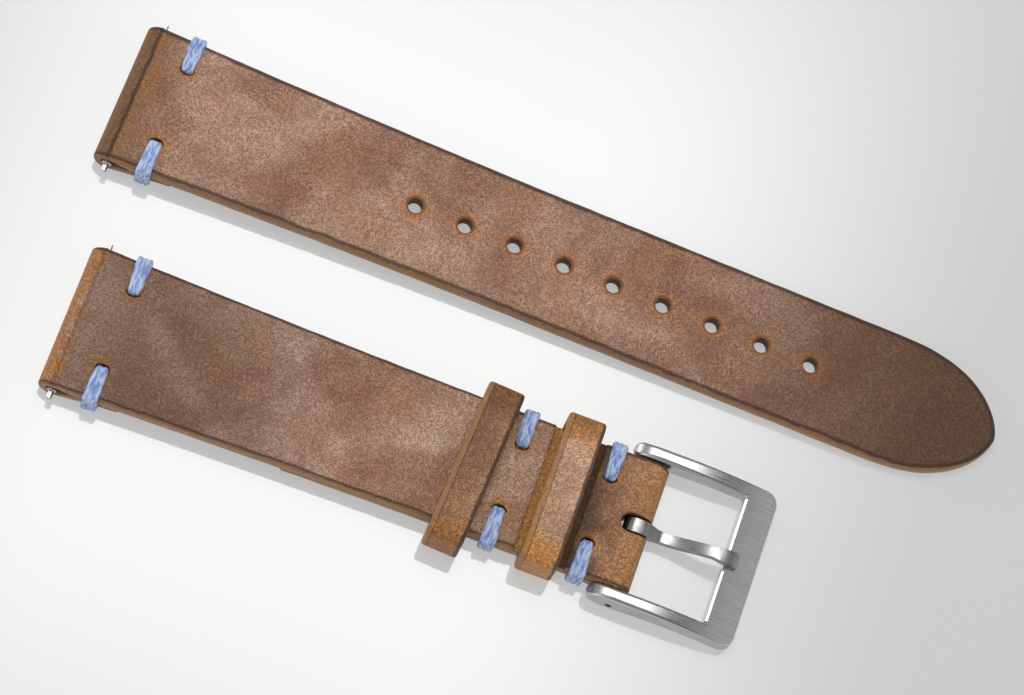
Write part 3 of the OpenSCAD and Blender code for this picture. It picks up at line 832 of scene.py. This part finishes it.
def stitch_tree(material):
    """Geometry Nodes: fans a path into strands, gives each its thickness and crumples the wax."""
    tree, inlet = new_group(
        "waxed_stitch", "GeometryNodeTree",
        {"Geometry": "Geometry", "Strands": 3, "Strand spacing": 0.00062,
         "Strand radius": 0.00042, "Crumple": 0.00009, "Crumple scale": 1500.0, "Seed": 3.0},
        ["Geometry"], "Geometry")
    curve = take(tree, "GeometryNodeMeshToCurve", "Curve", {"Mesh": inlet["Geometry"]})
    strands = node(tree, "GeometryNodeDuplicateElements",
                   {"Geometry": curve, "Amount": inlet["Strands"]}, domain="SPLINE")
    strand = Value(strands.outputs["Duplicate Index"])
    fan, along = (take(tree, "GeometryNodeInputNamedAttribute", "Attribute", {"Name": name},
                       data_type=kind)
                  for name, kind in (("fan", "FLOAT"), ("along", "FLOAT_VECTOR")))
    middle = (inlet["Strands"] - 1.0) * 0.5
    place = (strand - middle) * inlet["Strand spacing"] * fan
    spot = take(tree, "GeometryNodeInputPosition", 0)
    wander = clouds(spot, WANDER_SCALE, 1.0, output="Color", seed=inlet["Seed"] + strand)
    wander = wander.vector("SUBTRACT", (0.5, 0.5, 0.5)).vector("SCALE", WANDER_REACH)
    moved = take(tree, "GeometryNodeSetPosition", 0,
                 {"Geometry": Value(strands.outputs["Geometry"]),
                  "Offset": along.vector("SCALE", place).vector("ADD", wander)})
    ring = take(tree, "GeometryNodeCurvePrimitiveCircle", "Curve",
                {"Radius": inlet["Strand radius"], "Resolution": 12})
    tube = take(tree, "GeometryNodeCurveToMesh", "Mesh", {"Curve": moved, "Profile Curve": ring})
    crease = clouds(spot, inlet["Crumple scale"], 2.0, seed=inlet["Seed"])
    normal = take(tree, "GeometryNodeInputNormal", 0)
    push = normal.vector("SCALE", (crease - 0.5) * inlet["Crumple"])
    tube = take(tree, "GeometryNodeSetPosition", 0, {"Geometry": tube, "Offset": push})
    smooth = take(tree, "GeometryNodeSetShadeSmooth", 0, {0: tube})
    whole = take(tree, "GeometryNodeRealizeInstances", 0, {0: smooth})
    dressed = take(tree, "GeometryNodeSetMaterial", 0, {0: whole, "Material": material})
    node(tree, "NodeGroupOutput", {0: dressed})
    return tree


def stitches(name, sewn, lay_place, tree, seed):
    """Stitches of one body, laid in metres before the strands are grown.

    Each pair of stitches is (place along, half width there, height of the lower face).
    """
    verts, edges, fans = [], [], []
    for x, edge, low_z in sewn:
        for side in (1, -1):
            path, spread = stitch_path(x, side, edge, low_z)
            base = len(verts)
            verts += [lay_place @ Vector(p) for p in path]
            fans += spread
            edges += [(base + i, base + (i + 1) % len(path)) for i in range(len(path))]
    piece = shape(name, verts, [], edges=edges)
    way = (lay_place.to_3x3() @ Vector((1, 0, 0))).normalized()
    fan = piece.data.attributes.new("fan", "FLOAT", "POINT")
    along = piece.data.attributes.new("along", "FLOAT_VECTOR", "POINT")
    for i, value in enumerate(fans):
        fan.data[i].value = value
        along.data[i].vector = way
    grow = piece.modifiers.new("strands", "NODES")
    grow.node_group = tree
    for item in tree.interface.items_tree:
        if item.in_out == "INPUT" and item.name == "Seed":
            grow[item.identifier] = seed
    bake(piece)
    return piece


# ---- Leather shaders ----

LEATHER_ROUGH = 0.42
RIM_COLOUR = (0.045, 0.022, 0.013)
NEAR_LIP, FAR_LIP = (0.36, 0.165, 0.06), (0.06, 0.03, 0.018)
RAW_SIDE = ((0.22, 0.115, 0.045), (0.62, 0.40, 0.19))
FLESH_SIDE = ((0.30, 0.19, 0.10), (0.44, 0.30, 0.18))
WORN_SEAT = ((0.36, 0.155, 0.045), (0.80, 0.38, 0.12))
# The dark seat beside the buckle is partly waxed leather and partly painted shadow of the fixed
# keeper.
WAXED_SEAT_AND_SHADOW = ((0.10, 0.048, 0.025), (0.21, 0.105, 0.05))
WARM_SHIFT = (1.08, 0.98, 0.8)


def grain_group():
    """Leather grain: pores, flecks and broad patches from a place in millimetres."""
    tree, inlet = new_group(
        "leather_grain", "ShaderNodeTree",
        {"Place": "Vector", "Pore scale": 6.0, "Patch scale": 0.075},
        ["Patches", "Warmth", "Cloud", "Flecks", "Height"])
    place, pore, patch = inlet["Place"], inlet["Pore scale"], inlet["Patch scale"]
    patches = clouds(place, patch, 2.0, 0.55, 0.6)
    warmth = clouds(place, patch * 1.7, 4.0, 0.6, 0.4)
    cloud = clouds(place, 0.32, 4.0, 0.6)
    pores = clouds(place, pore, 2.0, 0.6)
    bent = clouds(place, 2.3, 3.0, output="Color").vector("ADD", place)
    cells = take(tree, "ShaderNodeTexVoronoi", "Distance", {"Vector": bent, "Scale": pore * 0.46},
                 feature="DISTANCE_TO_EDGE")
    relief = clouds(place, pore * 0.42, 1.0, 0.4, 0.8).fade(0.35, 0.65)
    flecks = pores.fade(0.3, 0.7) * 0.62 + (cells.fade(0.0, 0.24) * 0.12 + relief * 0.26)
    node(tree, "NodeGroupOutput",
         {"Patches": patches.fade(0.36, 0.66), "Warmth": warmth.fade(0.44, 0.66),
          "Cloud": cloud.fade(0.3, 0.7), "Flecks": flecks,
          "Height": flecks * 0.3 + relief * 0.7})
    return tree


def drift(place, cloud, reach):
    """A place along a piece that wanders with the grain's clouds."""
    return place + (cloud - 0.5) * reach


def edge_group():
    """Masks from the distance to a cut edge: burnished rim, raw side and flesh side."""
    tree, inlet = new_group(
        "leather_edges", "ShaderNodeTree",
        {"Tone": 0.0, "Ragged": 0.5, "Rim width": 0.6, "Burnish": 0.2},
        ["Rim", "Lip", "Side", "Back"])
    width = inlet["Rim width"]
    tone = drift(inlet["Tone"], inlet["Ragged"], 0.16)
    node(tree, "NodeGroupOutput",
         {"Rim": tone.fade(width, width * 0.6) * tone.fade(0.08, 0.22),
          "Lip": tone.fade(0.22, 0.08), "Side": (tone + inlet["Burnish"]).fade(0.0, -0.3),
          "Back": inlet["Tone"].fade(-4.0, -9.0)})
    return tree


GRAIN = grain_group()
EDGES = edge_group()


def leather(name, light, dark, pulled, marks, shade, grain=0.62, pore=6.2, patch=0.075,
            bevel=None, inside=None, rim_width=0.6, burnish=0.2):
    """Pull-up leather: patches, pores, lighter where it bends, burnished rims and raw sides."""
    material, tree, surface = new_material(name)
    texture = use_group(tree, GRAIN, {"Place": object_place(tree), "Pore scale": pore,
                                      "Patch scale": patch})
    flecks, cloud = texture["Flecks"], texture["Cloud"]
    (x, y, _), (_, tone, _) = (axes(take(tree, "ShaderNodeUVMap", 0, uv_map=layer))
                               for layer in ("plan", "edge"))
    # The shade factor carries painted light and shade for the long and short pieces and the tab.
    depth = shade(x, cloud)
    mottle = (texture["Patches"] * 0.75 + cloud * 0.25).calc("MULTIPLY", depth, clamp=True)
    colour = tint(mottle, dark, light)
    warm = tuple(math.sqrt(low * high) * c for low, high, c in zip(dark, light, WARM_SHIFT))
    colour = tint(texture["Warmth"].fade(0.0, 1.0, 0.0, 0.5), colour, warm)
    pull, *others = [mark(x, y, cloud) for mark in marks]
    for mask in others:
        pull = pull.calc("MAXIMUM", mask)
    colour = tint(pull, colour, pulled)
    specks = flecks.fade(0.2, 0.8, 1 - grain * 0.8, 1 + grain * 0.6) * depth
    colour = tint(1.0, colour, grey(specks), "MULTIPLY")
    masks = use_group(tree, EDGES, {"Tone": tone, "Ragged": cloud, "Rim width": rim_width,
                                    "Burnish": burnish})
    rim, back = masks["Rim"] * 0.82, masks["Back"]
    if bevel:
        near = y.fade(0.3, -0.3)
        slope = tone.fade(0.7, 0.55) * tone.fade(-0.4, -0.05) * near * 0.9
        crease = tone.fade(0.6, 0.68) * tone.fade(0.9, 0.78) * near * 0.55
        rim = (rim * near.fade(0.0, 1.0, 1.0, 0.35)).calc("MAXIMUM", crease)
    colour = tint(rim, colour, RIM_COLOUR)
    colour = tint(masks["Lip"] * 0.85, colour, tint(y.fade(-1.0, 1.0), NEAR_LIP, FAR_LIP))
    if bevel:
        colour = tint(slope, colour, tint(flecks, tuple(c * 0.55 for c in bevel), bevel))
    colour = tint(masks["Side"] * 0.9, colour, tint(flecks, *RAW_SIDE))
    flesh = inside(x, flecks) if inside else tint(flecks, *FLESH_SIDE)
    height = texture["Height"] * back.fade(0.0, 1.0, 1.0, 2.2)
    gloss = flecks.fade(0.0, 1.0, LEATHER_ROUGH - 0.06, LEATHER_ROUGH + 0.1)
    plug(surface, {"Base Color": tint(back, colour, flesh), "Roughness": gloss + back * 0.35,
                   "Specular IOR Level": 0.4, "Normal": bumps(height, 1.0, 0.00014)})
    return material


def plain_leather(name, low, high):
    """Leather inside a punched hole."""
    material, tree, surface = new_material(name)
    texture = use_group(tree, GRAIN, {"Place": object_place(tree), "Pore scale": 5.0,
                                      "Patch scale": 0.2})
    plug(surface, {"Base Color": tint(texture["Flecks"], low, high), "Roughness": 0.6,
                   "Normal": bumps(texture["Height"], 0.4, 0.00006)})
    return material


def bend_mark(start, end, strength):
    """Lighter leather from start, fading out towards end along the strap."""
    reach = math.copysign(2.4, end - start)
    return lambda x, y, cloud: drift(x, cloud, reach).fade(end, start, 0.0, strength)


def stitch_mark(spot_x, edge):
    """Lighter leather round the stitch holes of both sides."""
    def mark(x, y, cloud):
        return distance(x - spot_x, abs(y) - (edge - STITCH_REACH)).fade(2.3, 0.9) * 0.9
    return mark


def hole_mark(x, y, cloud):
    """Lighter leather round the adjustment holes, with a faint trail between them."""
    first = FIRST_HOLE_X - HOLE_PITCH / 2
    inside = x.calc("GREATER_THAN", first) * x.calc("LESS_THAN", first + HOLE_N * HOLE_PITCH)
    share = (x - FIRST_HOLE_X).calc("WRAP", HOLE_PITCH / 2)
    share.socket.node.inputs[2].default_value = -HOLE_PITCH / 2
    ring = distance(share, y).fade(2.6, 1.15) * 0.95
    trail = abs(y).fade(1.9, 0.2) * 0.28
    return inside * ring.calc("MAXIMUM", trail)


def painted_crease_shade(x, cloud, depth):
    """Painted shade: a dark line in the crease across the strap where it bends round the bar."""
    return abs(x - (cloud * 0.2 + 1.75)).fade(0.05, 0.45, depth, 1.0)


def long_tone_and_painted_light(x, cloud):
    """Long piece: darker near the fold and round the bar, with painted shade in the crease, and
    darker along the tip, partly darker leather and partly painted falloff of light and sheen.
    """
    fold = x.fade(2.5, 8.0, 0.72, 1.0) * painted_crease_shade(x, cloud, 0.22)
    # Painted light: from x 74 to 117 the factor falls to 0.32, partly darker leather and partly
    # painted falloff of light and sheen towards the tip.
    return fold * x.fade(1.3, 1.9, 0.66, 1.0) * x.fade(74.0, 117.0, 1.0, 0.32)


def short_tone_and_painted_light(x, cloud):
    """Short piece: lighter on its fold and darker past it, with painted shade in the crease, and
    lighter towards the buckle, a painted sheen.
    """
    # Painted sheen: the length factor lightens the leather from 0.76 to 1.22 towards the buckle.
    length, fold = x.fade(14.0, 44.0, 0.76, 1.22), x.fade(1.7, 2.6, 1.25, 0.88)
    return length * fold * painted_crease_shade(x, cloud, 0.62)


def tab_painted_shadow(x, cloud):
    """Painted shadow cast by the fixed keeper on the tab beside it, fading towards the buckle."""
    return drift(x, cloud, 1.6).fade(70.6, 74.4, 0.45, 1.0)


def seat(x, flecks):
    """Skived leather that shows on both sides of the fixed keeper: orange on the watch side, dark
    on the buckle side, partly waxed leather and partly painted shadow of the keeper.
    """
    return tint(x.fade(66.0, 68.0), tint(flecks, *WORN_SEAT), tint(flecks, *WAXED_SEAT_AND_SHADOW))


def keeper_hide(name, colours, in_w, start, end, grain, bevel):
    """Leather of a keeper, lighter at its shoulders and walls and darker towards its far end."""
    middle = KEEPER_H + in_w + 2 * KEEPER_T + (math.pi - 4) * KEEPER_R

    def shoulders(x, y, cloud):
        return drift(abs(x - middle), cloud, 2.0).fade(start, end)

    def shade(x, cloud):
        return drift(x, cloud, 2.0).fade(middle - 10.0, middle - 5.0, 0.62, 1.0)

    return leather(name, *colours, [shoulders], shade, grain, 5.5, 0.13, bevel)


# ---- Steel and thread shaders ----


def steel(name, colour, rough, wear=0.0, lines=(900.0,) * 3, depth=0.0):
    """Satin steel; the scale of its brush lines along each axis, and their depth."""
    material, tree, surface = new_material(name)
    place = take(tree, "ShaderNodeTexCoord", "Object").vector("MULTIPLY", lines)
    value = clouds(place, 1.0, 3.0, 0.6)
    dull = tuple(c * (1 - wear) for c in colour)
    plug(surface, {"Metallic": 1.0, "Base Color": tint(value.fade(0.3, 0.7), dull, colour),
                   "Roughness": value.fade(0.3, 0.7, rough + 0.07, rough - 0.04)})
    if depth:
        plug(surface, {"Normal": bumps(value, 0.35, depth)})
    return material


def waxed_thread():
    """Light blue waxed thread with fine fibres."""
    material, tree, surface = new_material("blue_thread")
    slant = take(tree, "ShaderNodeMapping", 0,
                 {"Vector": object_place(tree), "Rotation": (0, 0, math.radians(-24)),
                  "Scale": (3.4, 0.75, 1.6)})
    value = clouds(slant, 1.0, 3.0, 0.55, 0.4)
    colour = tint(value.fade(0.36, 0.62), (0.19, 0.28, 0.60), (0.58, 0.69, 0.95))
    plug(surface, {"Base Color": colour, "Roughness": 0.5, "Normal": bumps(value, 0.8, 0.0003)})
    return material


# ---- Materials ----

# The short piece's light tone is lighter and pinker than LIGHT: a painted sheen.
LIGHT, SHORT_LIGHT_AND_SHEEN = (0.55, 0.34, 0.238), (0.60, 0.395, 0.29)
DARK = (0.30, 0.142, 0.08)
PULLED = (0.48, 0.212, 0.074)

hole_wall = plain_leather("hole_wall", (0.06, 0.028, 0.013), (0.20, 0.09, 0.038))
hole_rim = plain_leather("hole_rim", (0.11, 0.042, 0.014), (0.34, 0.135, 0.042))
blue_thread = waxed_thread()
bright_steel = steel("bright_steel", (0.72, 0.71, 0.69), 0.22, 0.1)
satin_steel = steel("satin_steel", (0.58, 0.577, 0.573), 0.27, 0.16, (260.0, 6500.0, 260.0),
                    0.0000009)
polished_steel = steel("polished_steel", (0.66, 0.66, 0.66), 0.12)
# The tongue's steel is a darker copy of the satin steel: painted shade that dims the key panel's
# reflection on it.
tongue_steel_painted_dark = steel("tongue_steel_painted_dark", (0.31, 0.308, 0.30), 0.3, 0.1)

lug_edge = short_half(LUG_STITCH_X - STITCH_HALF_W)
long_edge = long_half(LONG_STITCH_X - STITCH_HALF_W)
short_edge = SHORT_W / 2

long_hide = leather("long_hide", LIGHT, DARK, PULLED,
                    [bend_mark(1.9, 5.0, 0.9), stitch_mark(LONG_STITCH_X, long_edge),
                     hole_mark, bend_mark(124.0, 82.0, 0.6)], long_tone_and_painted_light,
                    rim_width=0.8, burnish=0.75)
short_hide = leather("short_hide", SHORT_LIGHT_AND_SHEEN, DARK, PULLED,
                     [bend_mark(1.0, 3.0, 1.0), stitch_mark(LUG_STITCH_X, lug_edge),
                      stitch_mark(MID_STITCH_X, short_edge)], short_tone_and_painted_light)
tab_hide = leather("tab_hide", (0.50, 0.26, 0.145), (0.19, 0.094, 0.053), (0.55, 0.255, 0.088),
                   [bend_mark(79.5, 72.5, 0.9), stitch_mark(END_STITCH_X, short_edge)],
                   tab_painted_shadow, grain=0.58, pore=5.5, patch=0.16, inside=seat)
fixed_hide = keeper_hide("fixed_keeper_hide",
                         ((0.72, 0.44, 0.28), (0.46, 0.26, 0.155), (0.62, 0.27, 0.075)),
                         FIXED_KEEPER_IN_W, 5.8, 8.8, 0.6, (0.55, 0.26, 0.085))
free_hide = keeper_hide("free_keeper_hide",
                        ((0.47, 0.24, 0.118), (0.25, 0.12, 0.062), (0.42, 0.165, 0.042)),
                        FREE_KEEPER_IN_W, 7.0, 9.5, 0.66, (0.50, 0.25, 0.09))

# ---- Leather pieces ----

long_strap = band("long_leather", long_leather(), flat_across, long_hide)
punch(long_strap, [(FIRST_HOLE_X + i * HOLE_PITCH, 0) for i in range(HOLE_N)],
      oval(HOLE_R, HOLE_R, 48), UNDER_Z - 1, 0.42)
stitch_holes(long_strap, UNDER_Z + 0.5, [(LONG_STITCH_X, long_edge)])
lay(clean(long_strap), LONG_LAY, "long_piece", "leather", "long_strap")

short_strap = band("short_leather", short_leather(), flat_across, short_hide)
stitch_holes(short_strap, JOINT_Z + 0.15, [(LUG_STITCH_X, lug_edge), (MID_STITCH_X, short_edge)])
lay(clean(short_strap), SHORT_LAY, "short_piece", "leather", "short_strap")

tab = band("buckle_leather", buckle_leather(), flat_across, tab_hide)
stitch_holes(tab, JOINT_Z + 0.15, [(END_STITCH_X, short_edge)])
tongue_slot = arc((0, 0), SLOT_W / 2, 90, 270, 20) + [(8, -SLOT_W / 2), (8, SLOT_W / 2)]
punch(tab, [(SHORT_L - SLOT_L + SLOT_W / 2, 0)], tongue_slot, -1, 0.2)
lay(clean(tab), SHORT_LAY, "short_piece", "leather_fold", "buckle_tab")

fixed_keeper = keeper("fixed_keeper_leather", FIXED_KEEPER_IN_W, FIXED_KEEPER_W, fixed_hide)
fixed_place = SHORT_LAY @ Matrix.Translation((FIXED_KEEPER_X, 0, FIXED_KEEPER_Z))
lay(fixed_keeper, fixed_place, "short_piece", "leather_keeper", "fixed_keeper")

free_keeper = keeper("free_keeper_leather", FREE_KEEPER_IN_W, FREE_KEEPER_W, free_hide)
free_place = (SHORT_LAY @ Matrix.Translation((FREE_KEEPER_X, -FREE_KEEPER_SHIFT, 0))
              @ Matrix.Rotation(math.radians(FREE_KEEPER_YAW), 4, "Z"))
lay(free_keeper, free_place, "free_keeper", "leather_keeper", "free_keeper")

# ---- Thread pieces ----

waxed = stitch_tree(blue_thread)
long_sewn = [(LONG_STITCH_X, long_edge, flap_low(LONG_STITCH_X))]
short_sewn = [(LUG_STITCH_X, lug_edge, flap_low(LUG_STITCH_X)), (MID_STITCH_X, short_edge, LAP_Z),
              (END_STITCH_X, short_edge, fold_low(END_STITCH_X))]
long_stitches = stitches("long_stitches", long_sewn, LONG_LAY, waxed, 3.0)
lay(long_stitches, Matrix.Identity(4), "long_piece", "thread", "thread_long_far",
    "thread_long_near")
short_stitches = stitches("short_stitches", short_sewn, SHORT_LAY, waxed, 11.0)
lay(short_stitches, Matrix.Identity(4), "short_piece", "thread", "thread_lug_far",
    "thread_lug_near", "thread_mid_far", "thread_mid_near", "thread_end_far", "thread_end_near")

# ---- Metal pieces ----

satin_frame = buckle_frame()
dress(satin_frame, satin_steel, polished_steel)
for face in satin_frame.data.polygons:
    if face.normal.x < -0.4 and face.normal.z > 0.4 and abs(face.center.x - WINDOW_X) < 0.6:
        face.material_index = 1
lay(satin_frame, SHORT_LAY, "buckle", "buckle_steel", "buckle_frame")

satin_tongue = buckle_tongue()
dress(satin_tongue, tongue_steel_painted_dark)
lay(satin_tongue, SHORT_LAY, "tongue", "buckle_steel", "buckle_tongue")

for bar in ("long_bar", "short_bar", "buckle_bar"):
    for part in ("tube", "spring", "tip_far", "tip_near"):
        dress(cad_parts[f"{bar}_{part}"], bright_steel)

# ---- Ground, light and camera ----


def sheet(name, half_x, half_y, z, material):
    """Flat rectangle about the origin."""
    corners = [(-half_x, -half_y, z), (half_x, -half_y, z), (half_x, half_y, z),
               (-half_x, half_y, z)]
    made = shape(name, corners, [(0, 1, 2, 3)])
    made.data.materials.append(material)
    return made


def ground():
    """White glossy table, plain white for the light that it throws on."""
    material, tree, surface = new_material("white_gloss")
    plug(surface, {"Base Color": (0.228, 0.23, 0.228, 1), "Roughness": 0.03, "IOR": 1.56,
                   "Emission Color": (0.995, 1.0, 0.995, 1), "Emission Strength": 0.43})
    white = take(tree, "ShaderNodeBsdfDiffuse", 0, {"Color": (0.8, 0.8, 0.8, 1)})
    rays = node(tree, "ShaderNodeLightPath")
    seen, mirrored = (Value(rays.outputs[f"Is {ray} Ray"]) for ray in ("Camera", "Glossy"))
    mixed = take(tree, "ShaderNodeMixShader", 0,
                 {0: seen.calc("MAXIMUM", mirrored), 1: white, 2: Value(surface.outputs[0])})
    plug(tree.nodes["Material Output"], {"Surface": mixed})
    floor = sheet("table", 2, 2, TABLE_Z, material)


def softbox(name, size, place, aim, strength, fall):
    """Glowing panel that fades towards its edges, out of the camera's sight."""
    material, tree, _ = new_material(name)
    tree.nodes.clear()
    half_x, half_y = size[0] / 2, size[1] / 2
    x, y, _ = axes(take(tree, "ShaderNodeTexCoord", "Object"))
    glow = abs(x).fade(half_x, half_x * (1 - fall)) * abs(y).fade(half_y, half_y * (1 - fall))
    light = take(tree, "ShaderNodeEmission", 0,
                 {"Color": (1, 1, 1, 1), "Strength": glow * strength})
    node(tree, "ShaderNodeOutputMaterial", {"Surface": light})
    panel = sheet(name, half_x, half_y, 0, material)
    panel.location = place
    panel.rotation_euler = (Vector(place) - Vector(aim)).to_track_quat("Z", "Y").to_euler()
    panel.visible_camera = False


def surroundings():
    """Soft light from all round, white where the camera looks past the table."""
    world = bpy.data.worlds.new("studio")
    bpy.context.scene.world = world
    world.use_nodes = True
    tree = world.node_tree
    tree.nodes.clear()
    x, y, z = axes(take(tree, "ShaderNodeTexCoord", "Generated"))
    share = z.fade(-0.1, 0.85)
    low = y.fade(-0.3, 0.6, 0.75, 0.3) * (share * -1.0 + 1.0)
    dip = x.fade(0.06, 0.2) * x.fade(0.52, 0.38)
    high = dip.fade(0.0, 1.0, 0.42, -0.2) + x.fade(0.34, 0.5, 0.0, 0.2)
    strength = low + share * high.calc("MAXIMUM", 0.0)
    seen = take(tree, "ShaderNodeLightPath", "Is Camera Ray")
    colour = tint(seen, grey(strength), (1, 1, 1))
    light = take(tree, "ShaderNodeBackground", 0, {"Color": colour, "Strength": 1.0})
    node(tree, "ShaderNodeOutputWorld", {"Surface": light})


def photo_camera():
    """Camera at the photograph's viewing angle."""
    azimuth, elevation, roll = (math.radians(a) for a in (4.93, 69.03, 25.16))
    target, away = Vector((-2.028, 2.747, 0)) * MM, 495.9 * MM
    ahead = Vector((math.cos(elevation) * math.sin(azimuth),
                    math.cos(elevation) * math.cos(azimuth), -math.sin(elevation)))
    level = Vector((math.cos(azimuth), -math.sin(azimuth), 0))
    over = level.cross(ahead)
    right = level * math.cos(roll) + over * math.sin(roll)
    up = -level * math.sin(roll) + over * math.cos(roll)
    camera = place_object("photo_camera", bpy.data.cameras.new("photo_camera"))
    camera.data.sensor_fit, camera.data.sensor_width, camera.data.lens = "HORIZONTAL", 36, 134.53
    camera.data.clip_start, camera.data.clip_end = 0.01, 20
    turn = Matrix((right, up, -ahead)).transposed().to_4x4()
    camera.matrix_world = Matrix.Translation(target - ahead * away) @ turn
    bpy.context.scene.camera = camera


ground()
surroundings()
softbox("key_panel", (0.36, 0.48), (-0.032, 0.185, 0.50), (-0.032, 0.185, 0), 7.0, 0.75)
softbox("left_window", (0.9, 0.8), (-0.75, 0.28, 0.22), (0, 0, 0), 2.4, 0.8)
softbox("side_panel", (0.5, 0.35), (-0.35, -0.45, 0.45), (0, 0, 0), 2.0, 0.4)
photo_camera()

bpy.context.scene.view_settings.view_transform = "Standard"
